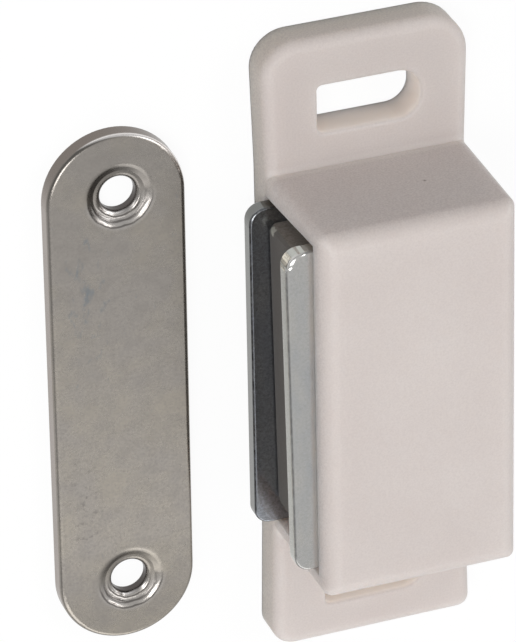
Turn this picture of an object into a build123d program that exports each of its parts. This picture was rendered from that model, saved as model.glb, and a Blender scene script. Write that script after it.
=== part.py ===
from build123d import *
import os

os.makedirs("parts", exist_ok=True)

# Surface-mounted magnetic catch with its steel strike plate, in millimetres.
# The catch lies on the face that is screwed down, which is z = 0, its long side runs along Y
# and the open side of its box looks towards -X. The strike plate lies beside it, also on z = 0.

# Housing: the flange with its two screw lugs
housing_length = 56.0
flange_width = 17.1          # beside the box
flange_flare = 0.28          # how far each side has moved out at the end of a lug
flange_thickness = 3.2
flange_edge_radius = 0.95
upper_open_corner_radius = 3.0      # the lugs' corners, upper is +Y and open is -X
upper_back_corner_radius = 3.5
lower_open_corner_radius = 1.9
lower_back_corner_step = 0.15       # this corner's radius beyond that of the flange's edge

# Housing: the box that holds the magnet pack
box_length = 33.2
box_height = 14.6
box_width = 17.0             # at z = 0
box_side_lean = 0.24         # how far each long side leans in over the height of the box
box_edge_radius = 1.35
box_corner_radius = 0.65
box_floor = 2.3
box_top_wall = 2.1
box_end_wall = 1.4
box_end_wall_swell = 0.6     # the +Y end wall is this much thicker at the floor of the pocket
box_back_wall = 1.6

# Housing: the long screw slots, one in each lug
slot_length = 8.75
slot_width = 4.15
slot_middle_x = 0.2
upper_slot_inset = 6.25      # from the lug's end to the middle of its slot
lower_slot_inset = 5.45
slot_corner_radius = 0.45    # at the open side's end of the slot
slot_end_flat = 0.35         # the straight stretch left between the rounds of the far end
slot_round_radius = (slot_width - slot_end_flat) / 2
slot_rim_radius = 0.35

# Magnet pack: two steel pole plates with the magnet between them
plate_thickness = 1.4
plate_end_play = 1.1         # pocket longer than plate
plate_back_play = 1.7        # behind the plates, to the back wall
plate_proud = 1.9            # how far the working edges stand out of the box
plate_corner_radius = 1.35
plate_back_radius = 0.6
plate_edge_radius = 0.22
upper_plate_shift = 0.15     # the loose plates lie a little off the middle and askew
lower_plate_shift = -0.4
upper_plate_skew = 0.65
lower_plate_skew = -0.25
magnet_setback = 1.76        # behind the plates' working edges
magnet_back_step = 0.84      # short of the plates' back edges
magnet_end_step = 1.65       # short of the plates' ends
magnet_skew = 0.6
magnet_edge_chamfer = 0.25
pocket_gap = 0.05            # above and below the pack

# The ribs that keep the pack in the pocket stand in notches in the plates' ends
rib_length = 1.6
rib_reach = 1.45
rib_middle_x = 0.8
rib_chamfer = 0.25
notch_length = 3.2
notch_depth = 1.7

# Strike plate
strike_length = 46.65
strike_width = 11.56
strike_thickness = 1.5
strike_middle_x = -20.75
strike_middle_y = -1.25
strike_skew = -0.52
strike_edge_radius = 0.4
strike_hole_inset = 5.5      # from the plate's end to the middle of its hole
strike_hole_offset = 0.3     # towards +X from the plate's middle line
strike_hole_radius = 1.5
strike_hole_lip_radius = 0.45
strike_hole_foot_radius = 0.2       # at the plate's underside
dimple_depth = 0.35          # from the strike's upper face to the seat's outer edge
dimple_slope_width = 0.65    # from the dimple's edge in to the seat
dimple_rim_radius = 1.1
dimple_seat_width = 0.2      # from the seat's outer edge in to the hole's rounded lip
dimple_seat_fall = 0.05      # how far the seat falls towards the middle
cut_margin = 1.0             # how far the tool that cuts a dimple stands above the plate

lower_back_corner_radius = flange_edge_radius + lower_back_corner_step
upper_slot_y = housing_length / 2 - upper_slot_inset
lower_slot_y = lower_slot_inset - housing_length / 2
pocket_height = box_height - box_floor - box_top_wall
pocket_half_length = box_length / 2 - box_end_wall
pocket_back = box_width / 2 - box_back_wall
plate_length = 2 * pocket_half_length - plate_end_play
plate_front = -box_width / 2 - plate_proud
plate_depth = pocket_back - plate_back_play - plate_front
plate_middle_x = plate_front + plate_depth / 2
magnet_thickness = pocket_height - 2 * (plate_thickness + pocket_gap)
magnet_length = plate_length - 2 * magnet_end_step
magnet_depth = plate_depth - magnet_setback - magnet_back_step
magnet_middle_x = plate_front + magnet_setback + magnet_depth / 2
lower_plate_z = box_floor + pocket_gap
magnet_z = lower_plate_z + plate_thickness
upper_plate_z = magnet_z + magnet_thickness
strike_hole_spacing = strike_length - 2 * strike_hole_inset
dimple_seat_radius = strike_hole_radius + strike_hole_lip_radius + dimple_seat_width
dimple_radius = dimple_seat_radius + dimple_slope_width
dimple_seat_z = strike_thickness - dimple_depth


# The box before it is hollowed, with leaning long sides and rounded corners
with BuildPart() as box_block:
    with BuildSketch(Plane.XZ):
        with BuildLine():
            Polyline(
                (-box_width / 2, 0),
                (box_width / 2, 0),
                (box_width / 2 - box_side_lean, box_height),
                (-box_width / 2 + box_side_lean, box_height),
                close=True,
            )
        make_face()
    extrude(amount=box_length / 2, both=True)
    fillet(box_block.faces().sort_by(Axis.Z)[-1].edges(), box_edge_radius)
    corner_edges = box_block.edges().filter_by(lambda e: e.bounding_box().size.Z > box_height / 2)
    fillet(corner_edges, box_corner_radius)

with BuildPart() as housing:
    # Flange: its sides run straight beside the box and flare a little towards the ends
    with BuildSketch() as flange_outline:
        with BuildLine():
            Polyline(
                (-flange_width / 2, 0),
                (-flange_width / 2, box_length / 2),
                (-flange_width / 2 - flange_flare, housing_length / 2),
                (flange_width / 2 + flange_flare, housing_length / 2),
                (flange_width / 2, box_length / 2),
                (flange_width / 2, 0),
                close=True,
            )
        make_face()
        mirror(about=Plane.XZ)
        for end, side, radius in (
            (0, 0, lower_open_corner_radius),
            (0, -1, lower_back_corner_radius),
            (-1, 0, upper_open_corner_radius),
            (-1, -1, upper_back_corner_radius),
        ):
            end_corners = flange_outline.vertices().group_by(Axis.Y)[end]
            fillet(end_corners.sort_by(Axis.X)[side], radius)
    extrude(amount=flange_thickness)
    fillet(housing.faces().sort_by(Axis.Z)[-1].edges(), flange_edge_radius)

    # Screw slots: squarer at the end on the open side, round at the other
    with BuildSketch() as slot_outlines:
        with Locations((slot_middle_x, upper_slot_y), (slot_middle_x, lower_slot_y)):
            Rectangle(slot_length, slot_width)
        fillet(slot_outlines.vertices().group_by(Axis.X)[0], slot_corner_radius)
        fillet(slot_outlines.vertices().group_by(Axis.X)[-1], slot_round_radius)
    extrude(amount=flange_thickness, mode=Mode.SUBTRACT)
    slot_rims = housing.faces().sort_by(Axis.Z)[-1].inner_wires().edges()
    fillet(slot_rims, slot_rim_radius)

    # Box, and the pocket that opens towards -X
    add(box_block.part)
    with BuildSketch(Plane.YZ.offset(pocket_back)):
        with BuildLine():
            Polyline(
                (-pocket_half_length, box_floor),
                (pocket_half_length - box_end_wall_swell, box_floor),
                (pocket_half_length, box_floor + pocket_height),
                (-pocket_half_length, box_floor + pocket_height),
                close=True,
            )
        make_face()
    extrude(amount=-box_width, mode=Mode.SUBTRACT)

    # Retaining ribs on the pocket's end walls
    with BuildSketch(Plane.XY.offset(box_floor)) as ribs:
        with Locations(
            (rib_middle_x, pocket_half_length - rib_reach / 2),
            (rib_middle_x, -pocket_half_length + rib_reach / 2),
        ):
            Rectangle(rib_length, rib_reach)
        chamfer(
            ribs.vertices().filter_by(lambda v: abs(v.Y) < pocket_half_length - rib_reach / 2),
            rib_chamfer,
        )
    extrude(amount=pocket_height)

housing.part.label = "housing"
export_step(housing.part, "parts/housing.step")

# Pole plates: rounded at the working edge's corners, notched at both ends for the ribs
pole_plates = {
    "lower_pole_plate": (lower_plate_z, lower_plate_shift, lower_plate_skew),
    "upper_pole_plate": (upper_plate_z, upper_plate_shift, upper_plate_skew),
}
for plate_name, (plate_z, plate_shift, plate_skew) in pole_plates.items():
    plate_plane = Plane(origin=(plate_middle_x, plate_shift, plate_z)).rotated((0, 0, plate_skew))
    with BuildPart() as pole_plate:
        with BuildSketch(plate_plane) as plate_outline:
            Rectangle(plate_depth, plate_length)
            fillet(plate_outline.vertices().group_by(Axis.X)[0], plate_corner_radius)
            fillet(plate_outline.vertices().group_by(Axis.X)[-1], plate_back_radius)
            with Locations(
                (rib_middle_x - plate_middle_x, plate_length / 2),
                (rib_middle_x - plate_middle_x, -plate_length / 2),
            ):
                Rectangle(notch_length, 2 * notch_depth, mode=Mode.SUBTRACT)
        extrude(amount=plate_thickness)
        plate_faces = pole_plate.faces().sort_by(Axis.Z)
        fillet(plate_faces[0].edges() + plate_faces[-1].edges(), plate_edge_radius)
    pole_plate.part.label = plate_name
    export_step(pole_plate.part, f"parts/{plate_name}.step")

# Magnet block between the plates, set back from their working edges
magnet_plane = Plane(origin=(magnet_middle_x, 0, magnet_z)).rotated((0, 0, magnet_skew))
with BuildPart() as magnet:
    with BuildSketch(magnet_plane) as magnet_outline:
        Rectangle(magnet_depth, magnet_length)
        chamfer(magnet_outline.vertices(), magnet_edge_chamfer)
    extrude(amount=magnet_thickness)

magnet.part.label = "magnet"
export_step(magnet.part, "parts/magnet.step")

# The shallow hollow that a screw head sits in: a rim that slopes down to a flatter seat
with BuildPart() as dimple_cutter:
    with BuildSketch(Plane.XZ):
        with BuildLine():
            Polyline(
                (0, dimple_seat_z - dimple_seat_fall),
                (dimple_seat_radius, dimple_seat_z),
                (dimple_radius, strike_thickness),
                (dimple_radius, strike_thickness + cut_margin),
                (0, strike_thickness + cut_margin),
                close=True,
            )
        make_face()
    revolve(axis=Axis.Z)

# Strike plate: a flat steel bar with round ends and two dimpled screw holes
strike_plane = Plane(origin=(strike_middle_x, strike_middle_y, 0)).rotated((0, 0, strike_skew))
with BuildPart() as strike_plate:
    with BuildSketch(strike_plane):
        SlotOverall(strike_length, strike_width, rotation=90)
    extrude(amount=strike_thickness)
    fillet(strike_plate.faces().sort_by(Axis.Z)[-1].edges(), strike_edge_radius)
    with Locations(strike_plane):
        with Locations((strike_hole_offset, 0)):
            with GridLocations(0, strike_hole_spacing, 1, 2):
                add(dimple_cutter.part, mode=Mode.SUBTRACT)
    dimple_rims = strike_plate.faces().sort_by(Axis.Z)[-1].inner_wires().edges()
    fillet(dimple_rims, dimple_rim_radius)
    with BuildSketch(strike_plane):
        with Locations((strike_hole_offset, 0)):
            with GridLocations(0, strike_hole_spacing, 1, 2):
                Circle(strike_hole_radius)
    extrude(amount=strike_thickness, mode=Mode.SUBTRACT)
    hole_lips = strike_plate.edges(Select.LAST).filter_by(GeomType.CIRCLE).group_by(Axis.Z)[-1]
    fillet(hole_lips, strike_hole_lip_radius)
    hole_feet = strike_plate.faces().sort_by(Axis.Z)[0].inner_wires().edges()
    fillet(hole_feet, strike_hole_foot_radius)

strike_plate.part.label = "strike_plate"
export_step(strike_plate.part, "parts/strike_plate.step")
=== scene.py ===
import math

import bmesh
import bpy
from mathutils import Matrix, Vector


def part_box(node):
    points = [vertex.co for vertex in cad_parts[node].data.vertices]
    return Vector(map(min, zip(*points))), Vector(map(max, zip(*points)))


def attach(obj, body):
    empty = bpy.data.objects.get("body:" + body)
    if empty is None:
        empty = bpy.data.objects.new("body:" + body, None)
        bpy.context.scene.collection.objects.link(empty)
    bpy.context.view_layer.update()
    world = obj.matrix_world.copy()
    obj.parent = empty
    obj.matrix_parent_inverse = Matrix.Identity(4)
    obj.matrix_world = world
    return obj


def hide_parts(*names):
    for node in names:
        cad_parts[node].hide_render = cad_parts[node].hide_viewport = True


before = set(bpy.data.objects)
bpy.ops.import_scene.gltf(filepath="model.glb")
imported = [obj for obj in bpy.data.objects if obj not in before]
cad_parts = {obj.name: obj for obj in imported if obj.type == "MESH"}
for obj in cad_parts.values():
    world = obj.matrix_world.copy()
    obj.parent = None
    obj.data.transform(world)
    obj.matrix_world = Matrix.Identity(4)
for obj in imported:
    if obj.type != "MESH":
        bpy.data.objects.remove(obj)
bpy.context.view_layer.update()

mm = 0.001
black = (0.0, 0.0, 0.0, 1.0)
white = (1.0, 1.0, 1.0, 1.0)
print("frame loaded:", ", ".join(sorted(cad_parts)))


# A node's output that can be used in sums, so that a pattern reads as an expression
class Wire:
    def __init__(self, tree, socket=None):
        self.tree = tree
        self.socket = socket

    def node(self, kind, settings=None, inputs=None, output=0):
        made = self.tree.nodes.new("ShaderNode" + kind)
        for name, value in (settings or {}).items():
            if name == "stops":
                setRamp(made.color_ramp, value)
            else:
                setattr(made, name, value)
        for name, value in (inputs or {}).items():
            if isinstance(value, Wire):
                self.tree.links.new(value.socket, made.inputs[name])
            else:
                made.inputs[name].default_value = value
        return Wire(self.tree, made.outputs[output]) if made.outputs else None

    def maths(self, operation, first, second=0.0):
        return self.node("Math", {"operation": operation}, {0: first, 1: second})

    def __add__(self, other):
        return self.maths("ADD", self, other)

    def __sub__(self, other):
        return self.maths("SUBTRACT", self, other)

    def __rsub__(self, other):
        return self.maths("SUBTRACT", other, self)

    def __mul__(self, other):
        return self.maths("MULTIPLY", self, other)


def setRamp(ramp, stops):
    while len(ramp.elements) < len(stops):
        ramp.elements.new(1.0)
    for element, (place, level) in zip(ramp.elements, stops):
        element.position = place
        element.color = level if isinstance(level, tuple) else (level, level, level, 1.0)


def newFinish(name):
    material = bpy.data.materials.new(name)
    material.use_nodes = True
    material.node_tree.nodes.clear()
    return material, Wire(material.node_tree)


def finishWith(wire, shader):
    wire.node("OutputMaterial", None, {"Surface": shader})


def rgb(red, green, blue):  # a colour as a paint program shows it, 0 to 255
    def linear(value):
        value /= 255
        return value / 12.92 if value <= 0.04045 else ((value + 0.055) / 1.055) ** 2.4
    return (linear(red), linear(green), linear(blue), 1.0)


def blendColours(wire, share, first, second, how="MIX"):
    settings = {"data_type": "RGBA", "blend_type": how}
    return wire.node("Mix", settings, {0: share, 6: first, 7: second}, 2)


def placeInMillimetres(wire):
    place = wire.node("TexCoord", None, None, "Object")
    return wire.node("VectorMath", {"operation": "SCALE"}, {0: place, "Scale": 1000.0})


def stretch(wire, place, x, y, z):
    return wire.node("Mapping", None, {"Vector": place, "Scale": (x, y, z)})


def axisOf(wire, place, axis):
    return wire.node("SeparateXYZ", None, {0: place}, axis)


def noise(wire, place, scale, detail=3.0, roughness=0.5):
    settings = {"Vector": place, "Scale": scale, "Detail": detail, "Roughness": roughness}
    return wire.node("TexNoise", None, settings)


def ramp(wire, value, *stops):
    return wire.node("ValToRGB", {"stops": stops}, {0: value})


def between(wire, value, low, high):  # 0 at low and 1 at high, whatever the unit
    inputs = {"Value": value, "From Min": low, "From Max": high}
    return wire.node("MapRange", {"clamp": True}, inputs)


def distance(wire, place, centre):
    return wire.node("VectorMath", {"operation": "DISTANCE"}, {0: place, 1: centre}, "Value")


def spot(wire, place, centre, reach):  # 1 at a point, fading to 0 at its reach
    return between(wire, distance(wire, place, centre), reach, 0.0)


def bumpFrom(wire, height, strength, depth):
    return wire.node("Bump", None, {"Strength": strength, "Distance": depth, "Height": height})


def facing(wire, direction):  # 1 where a face looks that way, -1 where it looks away
    normal = wire.node("TexCoord", None, None, "Normal")
    return wire.node("VectorMath", {"operation": "DOT_PRODUCT"}, {0: normal, 1: direction}, "Value")


def upright(wire):  # 1 where a face looks straight up or down, 0 where it stands
    normal = wire.node("TexCoord", None, None, "Normal")
    return wire.maths("ABSOLUTE", axisOf(wire, normal, "Z"))


def onSides(wire, flat):  # the steel's standing sides, from upright()
    return between(wire, flat, 0.5, 0.05)


def onRims(wire, flat):  # the steel's rounding between a flat face and its sides
    return ramp(wire, flat, (0.1, 0.0), (0.45, 1.0), (0.85, 1.0), (0.99, 0.0))


def nodeEnds(node):  # the lowest and the highest corner of its box, in mm
    return [Vector(corner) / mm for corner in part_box(node)]


housingLook = {
    "colour": rgb(213, 205, 201),
    "shade": rgb(209, 200, 196),
    "shadeScale": 0.12,
    "creamGlowColour": rgb(214, 205, 190),  # painted warm light low on the sides, for the light that comes through the plastic there
    "creamGlowBelow": 0.3,  # of the height
    "creamGlowShare": 0.7,
    "slotGlowColour": rgb(243, 233, 226),  # painted light on the thin walls of the screw slots, for the light that comes through them
    "slotsFromEnds": (6.25, 5.45),  # mm from the upper and the lower end to the slot's middle
    "slotReach": (6.2, 3.1),  # mm, along X and along Y
    "slotSoftness": 0.06,  # of the reach, in which the colour sets in
    "grainSize": 0.16,  # mm
    "grainColour": rgb(176, 165, 163),
    "grainShare": 0.22,
    "grainShareOnSides": 0.3,  # added on the sides
    "grainDepth": 0.03,  # mm
    "crease": (16.6, 3.2),  # mm, where the box's ends meet the lugs, along Y and up
    # painted light that lifts the shade gathering in these creases
    "creaseLightColour": rgb(240, 234, 230),
    "creaseLightShare": 0.45,
    "creaseLightReach": 0.7,  # mm
    "speckPlace": (2.8, 16.6, 8.3),  # mm, on the box's upper end
    "speckColour": rgb(120, 108, 100),
    "speckReach": 0.19,  # mm
    "roughness": 0.5,
    "roughnessSpread": 0.06,
    "gloss": 0.3,
    "glow": 0.9,  # share of the light that goes into the plastic
    "glowDepth": 2.2,  # mm
}


def makeHousingPlastic():
    material, wire = newFinish("satinOffWhitePlastic")
    place = placeInMillimetres(wire)
    lowest, highest = nodeEnds("housing")
    sides = 1.0 - between(wire, upright(wire), 0.1, 0.7)
    cloud = ramp(wire, noise(wire, place, housingLook["shadeScale"]), (0.35, 0.0), (0.7, 1.0))
    colour = blendColours(wire, cloud, housingLook["colour"], housingLook["shade"])
    # Painted warm light: the sides turn creamier towards the bottom
    low = between(wire, axisOf(wire, place, "Z"), highest.z * housingLook["creamGlowBelow"], 0.0)
    creamGlow = sides * low * housingLook["creamGlowShare"]
    colour = blendColours(wire, creamGlow, colour, housingLook["creamGlowColour"])

    grain = noise(wire, place, 1 / housingLook["grainSize"], 2.0)
    grainShare = sides * housingLook["grainShareOnSides"] + housingLook["grainShare"]
    grained = between(wire, grain, 0.35, 0.75) * grainShare
    colour = blendColours(wire, grained, colour, housingLook["grainColour"])

    # Painted light: the slot walls are lightened for the light that comes through them
    reachX, reachY = housingLook["slotReach"]
    fromUpperEnd, fromLowerEnd = housingLook["slotsFromEnds"]
    slotPlace = stretch(wire, place, 1 / reachX, 1 / reachY, 0.0)
    for slotY in (highest.y - fromUpperEnd, lowest.y + fromLowerEnd):
        near = spot(wire, slotPlace, (0.0, slotY / reachY, 0.0), 1.0)
        slotGlow = ramp(wire, near, (0.0, 0.0), (housingLook["slotSoftness"], 1.0))
        colour = blendColours(wire, slotGlow * sides, colour, housingLook["slotGlowColour"])

    # Painted light: the creases where the box meets the lugs are lightened against their shade
    creaseY, creaseZ = housingLook["crease"]
    sectionPlace = stretch(wire, place, 0.0, 1.0, 1.0)
    for side in (-1, 1):
        near = spot(wire, sectionPlace, (0.0, side * creaseY, creaseZ), housingLook["creaseLightReach"])
        creaseLight = near * housingLook["creaseLightShare"]
        colour = blendColours(wire, creaseLight, colour, housingLook["creaseLightColour"])

    speck = spot(wire, place, housingLook["speckPlace"], housingLook["speckReach"])
    colour = blendColours(wire, speck, colour, housingLook["speckColour"])
    spread = housingLook["roughnessSpread"]
    shader = wire.node("BsdfPrincipled", None, {
        "Base Color": colour,
        "Roughness": grain * (2 * spread) + (housingLook["roughness"] - spread),
        "IOR": 1.5,
        "Specular IOR Level": housingLook["gloss"],
        "Subsurface Weight": housingLook["glow"],
        "Subsurface Radius": (1.0, 0.95, 0.9),
        "Subsurface Scale": housingLook["glowDepth"] * mm,
        "Normal": bumpFrom(wire, grain, 0.12, housingLook["grainDepth"] * mm),
    })
    finishWith(wire, shader)
    return material


poleLook = {
    "upper_pole_plate": {
        "colour": (0.67, 0.655, 0.625, 1.0),
        "cloudColour": (0.58, 0.59, 0.595, 1.0),
        "edgeColour": (0.46, 0.465, 0.435, 1.0),  # of the sides and the mottling
        "rimShade": 0.3,  # painted shade on the rims, darkening their reflections; 1 is as bright as the face
        "cornerShade": 1.0,  # the same, at the corner where the painted rim shade is lifted
        "rollOver": 0.4,  # mm that the stamped corner's face seems to fall
        "mottling": 0.3,
    },
    # painted shade: the same steel as the upper plate, made darker and bluer, with darker sides,
    # rims and corner, for the shade and dark reflections it lies in under the magnet and the upper
    # plate
    "lower_pole_plate": {
        "colour": (0.50, 0.515, 0.54, 1.0),
        "cloudColour": (0.41, 0.44, 0.50, 1.0),
        "edgeColour": (0.185, 0.187, 0.18, 1.0),
        "rimShade": 0.05,
        "cornerShade": 0.25,
        "rollOver": 0.04,
        "mottling": 0.6,
    },
    "rimBreaks": 0.35,  # how much of the rims' painted shade comes and goes
    "brightCornerInset": 0.7,  # mm from the plate's edges to the middle of the corner whose rim keeps its highlight
    "brightCornerReach": 1.5,  # mm
    "cornerRadius": 1.35,  # mm
    "fallInset": 0.3,  # mm inside the corner's middle lines, where its fall sets in
    "fallOffset": 0.1,  # mm outside them, where it is full
    "fallReach": (0.5, 1.3),  # mm from the corner's middle, where it sets in and where it is full
    "roughness": 0.2,
    "roughnessSpread": 0.06,
    "waviness": 0.002,  # mm
}


def makePoleSteel(plate):
    look = poleLook[plate]
    material, wire = newFinish("zinc_" + plate)
    place = placeInMillimetres(wire)
    lowest, highest = nodeEnds(plate)
    flat = upright(wire)
    cloud = noise(wire, stretch(wire, place, 1.0, 0.35, 1.0), 0.6, 4.0)
    clouded = ramp(wire, cloud, (0.35, 0.0), (0.7, 1.0))
    colour = blendColours(wire, clouded, look["colour"], look["cloudColour"])
    # The sides take the darker edge colour: partly the duller sheared steel, partly painted shade
    colour = blendColours(wire, onSides(wire, flat), colour, look["edgeColour"])

    # Painted shade on the rims, lifted at the corner so that its highlight shows
    brightCornerPlace = (lowest.x + poleLook["brightCornerInset"], highest.y - poleLook["brightCornerInset"], highest.z)
    brightRim = spot(wire, place, brightCornerPlace, poleLook["brightCornerReach"])
    shade = brightRim * (look["cornerShade"] - look["rimShade"]) + look["rimShade"]
    breaks = between(wire, noise(wire, place, 1.6, 4.0, 0.7), 0.3, 0.6) * poleLook["rimBreaks"]
    rim = 1.0 - onRims(wire, flat) * (1.0 - shade) * (breaks + (1.0 - poleLook["rimBreaks"]))
    colour = blendColours(wire, 1.0, colour, rim, "MULTIPLY")
    mottled = between(wire, noise(wire, place, 5.0, 3.0, 0.6), 0.4, 0.7)
    colour = blendColours(wire, mottled * look["mottling"], colour, look["edgeColour"])

    cornerX, cornerY = lowest.x + poleLook["cornerRadius"], highest.y - poleLook["cornerRadius"]
    inset, offset = poleLook["fallInset"], poleLook["fallOffset"]
    beyondX = between(wire, axisOf(wire, place, "X"), cornerX + inset, cornerX - offset)
    beyondY = between(wire, axisOf(wire, place, "Y"), cornerY - inset, cornerY + offset)
    fromCorner = distance(wire, stretch(wire, place, 1.0, 1.0, 0.0), (cornerX, cornerY, 0.0))
    fall = between(wire, fromCorner, *poleLook["fallReach"])
    rollOver = fall * fall * (beyondX * beyondY) * look["rollOver"]

    fine = noise(wire, place, 3.0, 5.0, 0.6)
    spread = poleLook["roughnessSpread"]
    shader = wire.node("BsdfPrincipled", None, {
        "Base Color": colour,
        "Metallic": 1.0,
        "Roughness": fine * (2 * spread) + (poleLook["roughness"] - spread),
        "Normal": bumpFrom(wire, fine * poleLook["waviness"] - rollOver, 1.0, mm),
    })
    finishWith(wire, shader)
    return material


magnetLook = {
    # painted light and shade: the faces that catch light take the lighter colour, the front between
    # the plates the darker one
    "colour": rgb(150, 142, 134),
    "shadedFrontColour": rgb(88, 84, 80),
    "darkColour": rgb(86, 81, 77),  # of the grain
    "darkShare": 0.6,
    # painted highlight: a pale ragged spot at the block's front corner, where it catches a lamp
    "glintSpotColour": rgb(178, 176, 166),
    "glintSpotPlace": (0.1, -0.4, 0.95),  # mm from the lower corner at the front and the upper end
    "glintSpotReach": 0.9,
    "glintSpotRaggedness": 0.7,
    "glintSpotShare": 0.8,
    "roughness": 0.55,
    "grainDepth": 0.05,  # mm
    "skew": 0.6,  # degrees, as the block lies between its plates
    "cornerCut": 0.25,  # mm, on the four standing edges
    "edgeRound": 0.32,  # mm, on the others
    "chips": ((1, -1, 0.45), (1, 1, 0.45), (-1, -1, 0.5)),  # along Y, along Z, how deep in mm
    "chipLean": (0.8, 0.9),  # how far a chip's face looks along Y and along Z
    "smoothUpTo": 35,  # degrees between two faces
}


def makeFerrite():
    material, wire = newFinish("sinteredFerrite")
    place = placeInMillimetres(wire)
    lowest, highest = nodeEnds("magnet")
    # Painted shade on the front that looks out between the plates
    front = between(wire, facing(wire, (-1.0, 0.0, 0.0)), 0.2, 0.8)
    colour = blendColours(wire, front, magnetLook["colour"], magnetLook["shadedFrontColour"])
    grain = noise(wire, place, 4.0, 5.0, 0.65)
    dark = ramp(wire, grain, (0.4, 0.0), (0.75, magnetLook["darkShare"]))
    colour = blendColours(wire, dark, colour, magnetLook["darkColour"])
    # Painted highlight on the front corner at the upper end
    glintSpotPlace = Vector((lowest.x, highest.y, lowest.z)) + Vector(magnetLook["glintSpotPlace"])
    glintSpot = spot(wire, place, glintSpotPlace, magnetLook["glintSpotReach"])
    glintSpot = glintSpot + noise(wire, place, 2.5, 3.0) * magnetLook["glintSpotRaggedness"]
    glintSpotMask = between(wire, glintSpot, 0.85, 1.0) * magnetLook["glintSpotShare"]
    colour = blendColours(wire, glintSpotMask, colour, magnetLook["glintSpotColour"])
    shader = wire.node("BsdfPrincipled", None, {
        "Base Color": colour,
        "Roughness": grain * 0.2 + magnetLook["roughness"],
        "Normal": bumpFrom(wire, grain, 0.4, magnetLook["grainDepth"] * mm),
    })
    finishWith(wire, shader)
    return material


def pickEdges(piece, wanted):  # selects the edges whose direction and middle fit
    bpy.ops.mesh.select_mode(type="EDGE")
    bpy.ops.mesh.select_all(action="DESELECT")
    shape = bmesh.from_edit_mesh(piece.data)
    for edge in shape.edges:
        first, second = (vertex.co for vertex in edge.verts)
        edge.select_set(wanted((second - first).normalized(), (first + second) / 2))
    bmesh.update_edit_mesh(piece.data)


def makeMagnet():  # the pressed block: cut corners, rounded edges, a few chips
    lowest, highest = nodeEnds("magnet")
    middle = (lowest + highest) / 2
    # The CAD's box holds the turned block, so the block's own sides are a little shorter
    turn = math.radians(magnetLook["skew"])
    across, along = highest.x - lowest.x, highest.y - lowest.y
    cut = 2 * magnetLook["cornerCut"] * math.sin(turn)
    scale = math.cos(turn) ** 2 - math.sin(turn) ** 2
    depth = ((across + cut) * math.cos(turn) - (along + cut) * math.sin(turn)) / scale
    length = ((along + cut) * math.cos(turn) - (across + cut) * math.sin(turn)) / scale
    height = highest.z - lowest.z
    bpy.ops.object.select_all(action="DESELECT")
    bpy.ops.mesh.primitive_cube_add(
        size=1.0, location=middle * mm, scale=(depth * mm, length * mm, height * mm))
    piece = bpy.context.object
    piece.name = "ferrite_block"
    bpy.ops.object.transform_apply(location=True, rotation=False, scale=True)

    bpy.ops.object.mode_set(mode="EDIT")
    pickEdges(piece, lambda run, at: abs(run.z) > 0.9)
    bpy.ops.mesh.bevel(offset=magnetLook["cornerCut"] * mm, segments=1, affect="EDGES")
    pickEdges(piece, lambda run, at: abs(run.z) < 0.1 and abs(at.z - middle.z * mm) > 1.0 * mm)
    bpy.ops.mesh.bevel(offset=magnetLook["edgeRound"] * mm, segments=3, affect="EDGES")
    leanY, leanZ = magnetLook["chipLean"]
    for sideY, sideZ, deep in magnetLook["chips"]:
        corner = Vector((middle.x - depth / 2, middle.y + sideY * length / 2, middle.z))
        corner.z += sideZ * height / 2
        outward = Vector((-1.0, sideY * leanY, sideZ * leanZ)).normalized()
        bpy.ops.mesh.select_all(action="SELECT")
        bpy.ops.mesh.bisect(
            plane_co=(corner - outward * deep) * mm, plane_no=outward,
            use_fill=True, clear_outer=True)
    bpy.ops.mesh.select_all(action="SELECT")
    bpy.ops.mesh.remove_doubles(threshold=0.001 * mm)
    bpy.ops.mesh.normals_make_consistent(inside=False)
    # Without a window this operator turns the other way
    bpy.ops.transform.rotate(value=-turn, orient_axis="Z", center_override=middle * mm)
    bpy.ops.object.mode_set(mode="OBJECT")

    bpy.ops.object.shade_smooth_by_angle(angle=math.radians(magnetLook["smoothUpTo"]))
    piece.data.materials.append(makeFerrite())
    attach(piece, "magnet_pack")
    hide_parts("magnet")
    print("magnet block made:", round(depth, 2), "by", round(length, 2), "mm")


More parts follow.
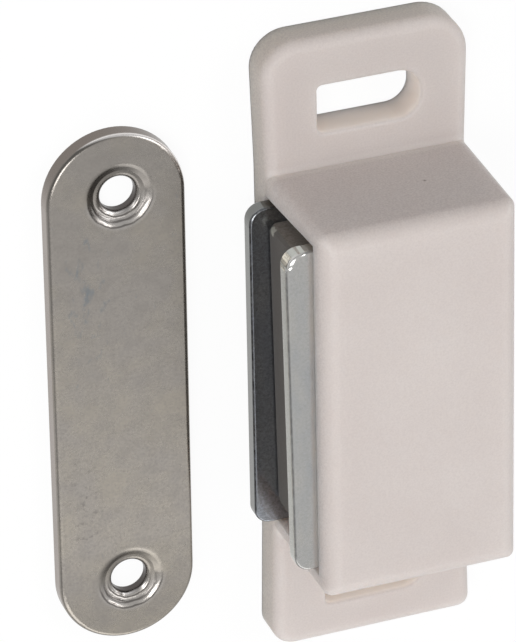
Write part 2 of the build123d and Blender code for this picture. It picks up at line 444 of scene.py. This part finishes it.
strikeLook = {
    "colour": (0.51, 0.474, 0.435, 1.0),
    "yellowColour": (0.545, 0.498, 0.432, 1.0),  # in clouds, more of them low on the plate
    "lowYellow": 0.25,
    "levels": ((0.0, 0.75), (0.8, 1.0), (0.94, 0.8)),  # brightness from the upper end to the lower
    "brightness": 1.14,
    "lengthwise": 0.35,  # how the smudge and the marks are drawn out along the plate
    "blueColour": (0.29, 0.33, 0.36, 1.0),  # of the smudge
    "smudgePlace": (-2.6, 8.0),  # mm from the plate's middle
    "smudgeReach": 3.2,
    "smudgeShare": 0.8,
    "marksPlace": (-3.6, -10.0),  # the same, for a few dark marks
    "marksReach": 2.4,
    "speckleColour": (0.36, 0.335, 0.31, 1.0),
    "speckleShare": 0.45,
    "blotchShare": 0.25,
    # of the sheared sides: darker partly as duller steel, partly as painted shade
    "edgeColour": (0.285, 0.245, 0.217, 1.0),
    "endShade": 0.66,  # painted shade on the sides at the upper end, 1 is none
    "endReach": (6.0, 3.0),  # mm below the upper end, where it sets in and where it is full
    "highlightColour": (0.85, 0.82, 0.8, 1.0),  # painted highlight on the rim that looks to the upper right, and in the dimples
    # painted shade on all the rims, 1 is as bright as the face
    "rimShade": 0.6,
    "shadedRimShare": 0.4,  # painted shade on the rim that looks to the upper left
    "shadeAndMarkColour": (0.09, 0.08, 0.075, 1.0),  # painted shade inside the screw holes and in the dimples' streaks, and the colour of a few dark marks
    "holeFromEnd": 5.5,  # mm
    "holeOffset": 0.3,  # mm
    "holeRadius": 1.5,  # mm
    "wallReach": (1.1, 1.02),  # of that radius, where the painted shade sets in and is full
    "skew": -0.52,  # degrees
    "dimpleReach": 3.1,  # mm
    "dimpleSoftness": 0.12,  # of that reach
    "dimpleLight": 0.35,  # painted highlight in its lower half
    "dimpleShade": 0.35,  # painted shade in its upper half
    # painted reflection: dark streaks along the pressed rings in the lower half
    "reflectionStreakShare": 0.75,
    "ringStep": 0.42,  # mm between the pressed lines in the dimples
    "ringDepth": 0.036,  # mm
    "ringWander": 2.5,
    "roughness": 0.27,
    "roughnessSpread": (0.05, 0.04),  # by the clouds and by the fine grain
    "waviness": 0.0012,  # mm
}


def strikeHoles():  # the middles of the two screw holes, seen from above
    lowest, highest = nodeEnds("strike_plate")
    middle = (lowest + highest) / 2
    half = (highest.y - lowest.y) / 2 - strikeLook["holeFromEnd"]
    turn = math.radians(strikeLook["skew"])
    for side in (-1, 1):
        x = strikeLook["holeOffset"] * math.cos(turn) - side * half * math.sin(turn)
        y = strikeLook["holeOffset"] * math.sin(turn) + side * half * math.cos(turn)
        yield (middle.x + x, middle.y + y, 0.0)


def nearStrikePlace(wire, place, fromMiddle, reach):  # a spot drawn out along the plate
    lowest, highest = nodeEnds("strike_plate")
    middle = (lowest + highest) / 2
    lengthwise = strikeLook["lengthwise"]
    centre = (middle.x + fromMiddle[0], lengthwise * (middle.y + fromMiddle[1]), 0.0)
    return spot(wire, stretch(wire, place, 1.0, lengthwise, 1.0), centre, reach)


def makeStrikeSteel():
    material, wire = newFinish("satinPlatedSteel")
    place = placeInMillimetres(wire)
    lowest, highest = nodeEnds("strike_plate")
    alongPlate = axisOf(wire, place, "Y")
    down = between(wire, alongPlate, highest.y, lowest.y)
    cloud = noise(wire, place, 0.28, 4.0)
    fine = noise(wire, place, 2.2, 5.0, 0.6)
    yellow = between(wire, cloud + down * strikeLook["lowYellow"], 0.5, 0.8)
    colour = blendColours(wire, yellow, strikeLook["colour"], strikeLook["yellowColour"])
    blotch = between(wire, noise(wire, place, 0.9, 2.0), 0.42, 0.68) * strikeLook["blotchShare"]
    colour = blendColours(wire, blotch, colour, strikeLook["speckleColour"])
    level = ramp(wire, down, *strikeLook["levels"]) * strikeLook["brightness"]
    colour = blendColours(wire, 1.0, colour, level, "MULTIPLY")

    smudge = noise(wire, stretch(wire, place, 1.6, 0.7, 1.0), 0.9, 4.0, 0.6)
    nearSmudge = nearStrikePlace(wire, place, strikeLook["smudgePlace"], strikeLook["smudgeReach"])
    smudged = between(wire, smudge + nearSmudge * 0.35, 0.68, 0.84) * strikeLook["smudgeShare"]
    colour = blendColours(wire, smudged, colour, strikeLook["blueColour"])
    speckle = between(wire, noise(wire, place, 4.0, 3.0, 0.6), 0.42, 0.7)
    speckled = speckle * strikeLook["speckleShare"]
    colour = blendColours(wire, speckled, colour, strikeLook["speckleColour"])
    marks = between(wire, noise(wire, place, 1.8, 3.0, 0.6), 0.6, 0.68)
    nearMarks = nearStrikePlace(wire, place, strikeLook["marksPlace"], strikeLook["marksReach"])
    colour = blendColours(wire, marks * nearMarks, colour, strikeLook["shadeAndMarkColour"])

    flat = upright(wire)
    sides = onSides(wire, flat)
    # The sides darken, partly as duller sheared steel and partly as painted shade
    colour = blendColours(wire, sides, colour, strikeLook["edgeColour"])
    # Painted shade on the sides at the upper end
    endFrom, endFull = strikeLook["endReach"]
    atEnd = between(wire, alongPlate, highest.y - endFrom, highest.y - endFull)
    colour = blendColours(wire, sides * atEnd * (1.0 - strikeLook["endShade"]), colour, black)
    # Painted shade on the rims, deeper where they look to the upper left
    rims = onRims(wire, flat)
    brightRim = between(wire, facing(wire, (0.5, 0.85, 0.0)), 0.42, 0.6)
    shadedRim = between(wire, facing(wire, (-0.5, 0.85, 0.0)), 0.4, 0.6)
    colour = blendColours(wire, rims * (1.0 - strikeLook["rimShade"]), colour, black)
    colour = blendColours(wire, rims * shadedRim * strikeLook["shadedRimShare"], colour, black)
    # Painted highlight on the rim that looks to the upper right
    colour = blendColours(wire, rims * brightRim, colour, strikeLook["highlightColour"])

    onPlan = stretch(wire, place, 1.0, 1.0, 0.0)
    height = (fine + cloud) * strikeLook["waviness"]
    reach = strikeLook["dimpleReach"]
    wallFrom, wallFull = (share * strikeLook["holeRadius"] for share in strikeLook["wallReach"])
    waveStep = 0.314  # mm between the wave texture's rings at a scale of 1
    for holePlace in strikeHoles():
        middleX, middleY, _ = holePlace
        moved = {"Vector": onPlan, "Location": (-middleX, -middleY, 0.0)}
        holeCentred = wire.node("Mapping", None, moved)
        rings = wire.node("TexWave", {"wave_type": "RINGS", "rings_direction": "Z"}, {
            "Vector": holeCentred,
            "Scale": waveStep / strikeLook["ringStep"],
            "Distortion": strikeLook["ringWander"],
            "Detail": 2.0,
        }, 1)
        fromHole = distance(wire, onPlan, holePlace)
        inDimple = between(wire, fromHole, reach, reach * (1.0 - strikeLook["dimpleSoftness"]))
        upDimple = axisOf(wire, holeCentred, "Y")
        lowerHalf = inDimple * between(wire, upDimple, 0.2, -1.0)
        upperHalf = inDimple * between(wire, upDimple, 0.2, 1.2)
        # Painted highlight with dark streaks in the dimple's lower half, painted shade in its upper
        # half
        light = lowerHalf * strikeLook["dimpleLight"]
        colour = blendColours(wire, light, colour, strikeLook["highlightColour"])
        reflectionStreaks = lowerHalf * between(wire, rings, 0.5, 0.9) * strikeLook["reflectionStreakShare"]
        colour = blendColours(wire, reflectionStreaks, colour, strikeLook["shadeAndMarkColour"])
        colour = blendColours(wire, upperHalf * strikeLook["dimpleShade"], colour, black)
        # Painted shade inside the screw hole
        holeShade = between(wire, fromHole, wallFrom, wallFull)
        colour = blendColours(wire, holeShade, colour, strikeLook["shadeAndMarkColour"])
        height = height + rings * lowerHalf * strikeLook["ringDepth"]

    cloudSpread, fineSpread = strikeLook["roughnessSpread"]
    roughness = cloud * (2 * cloudSpread) + fine * (2 * fineSpread)
    shader = wire.node("BsdfPrincipled", None, {
        "Base Color": colour,
        "Metallic": 1.0,
        "Roughness": roughness + (strikeLook["roughness"] - cloudSpread - fineSpread),
        "Normal": bumpFrom(wire, height, 1.0, mm),
    })
    finishWith(wire, shader)
    return material


def dress(node, material):
    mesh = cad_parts[node].data
    mesh.materials.clear()
    mesh.materials.append(material)


dress("housing", makeHousingPlastic())
for plate in ("lower_pole_plate", "upper_pole_plate"):
    dress(plate, makePoleSteel(plate))
makeMagnet()
dress("strike_plate", makeStrikeSteel())
print("finishes made")


studio = {
    "floorSize": 3.0,
    "floorDrop": 0.05 * mm,
    "floorBounce": (0.42, 0.42, 0.42, 1.0),  # the floor's colour in the light that it gives back
    "paperColour": (0.98, 0.98, 0.98, 1.0),  # its colour to the camera, which shows the shadows
    "paperWhiteness": 0.93,  # share of plain white over it
    "sky": 0.6,
    "horizon": 0.5,
    "horizonBand": (0.2, 0.45),  # heights of the sky's direction
    "lampDistance": 0.8,
}


def makeFloor():
    bpy.ops.object.select_all(action="DESELECT")
    bpy.ops.mesh.primitive_plane_add(size=studio["floorSize"], location=(0, 0, -studio["floorDrop"]))
    floor = bpy.context.object
    floor.name = "floor"
    material, wire = newFinish("paleFloor")
    path = wire.node("LightPath", None, None, "Is Camera Ray")
    glossy = wire.node("LightPath", None, None, "Is Glossy Ray")
    clear = wire.node("LightPath", None, None, "Is Transmission Ray")
    seen = wire.maths("MINIMUM", path + glossy + clear, 1.0)
    plain = wire.node("BsdfDiffuse", None, {"Color": studio["floorBounce"]})
    lit = wire.node("BsdfDiffuse", None, {"Color": studio["paperColour"]})
    bright = wire.node("Emission", None, {"Color": white, "Strength": 1.0})
    paper = wire.node("MixShader", None, {0: studio["paperWhiteness"], 1: lit, 2: bright})
    finishWith(wire, wire.node("MixShader", None, {0: seen, 1: plain, 2: paper}))
    floor.data.materials.append(material)


def makeSky():
    world = bpy.data.worlds.new("softRoom")
    bpy.context.scene.world = world
    world.use_nodes = True
    world.node_tree.nodes.clear()
    wire = Wire(world.node_tree)
    direction = wire.node("TexCoord", None, None, "Generated")
    bandFrom, bandTo = studio["horizonBand"]
    stops = (bandFrom, studio["horizon"]), (bandTo, studio["sky"])
    level = ramp(wire, axisOf(wire, direction, "Z"), *stops)
    back = wire.node("Background", None, {"Color": level, "Strength": 1.0})
    wire.node("OutputWorld", None, {"Surface": back})


lamps = {  # direction from the catch, side lengths, level that it gives a face turned to it
    "windowLamp": ((-0.5, 0.1, 0.85), (0.35, 0.35), 0.34),
    "glintLamp": ((0.74, 0.24, 0.62), (0.44, 0.32), 0.2),
    "rearLamp": ((-0.2, -0.85, 0.5), (0.8, 0.4), 0.22),
}


def addLamp(name):
    direction, sides, level = lamps[name]
    lamp = bpy.data.lights.new(name, "AREA")
    lamp.shape = "RECTANGLE"
    lamp.size, lamp.size_y = sides
    lamp.energy = level * (math.pi * studio["lampDistance"]) ** 2
    piece = bpy.data.objects.new(name, lamp)
    bpy.context.scene.collection.objects.link(piece)
    piece.location = Vector(direction).normalized() * studio["lampDistance"]
    piece.rotation_euler = Vector(direction).to_track_quat("Z", "Y").to_euler()


cameraView = {
    "place": (-133.81 * mm, 215.81 * mm, 349.85 * mm),  # metres, like the clip distances
    "turn": (-29.488, -20.387, -1.305),  # degrees
    "lens": 296.93,
    "sensor": 36.0,
    "shift": (0.0026, 0.0011),
    "clip": (0.01, 10.0),
}


def placeCamera():
    camera = bpy.data.cameras.new("camera")
    camera.lens = cameraView["lens"]
    camera.sensor_width = cameraView["sensor"]
    camera.shift_x, camera.shift_y = cameraView["shift"]
    camera.clip_start, camera.clip_end = cameraView["clip"]
    piece = bpy.data.objects.new("camera", camera)
    bpy.context.scene.collection.objects.link(piece)
    piece.location = cameraView["place"]
    piece.rotation_euler = [math.radians(angle) for angle in cameraView["turn"]]
    bpy.context.scene.camera = piece


makeFloor()
makeSky()
for name in lamps:
    addLamp(name)
placeCamera()
bpy.context.scene.view_settings.view_transform = "Standard"
print("studio ready")
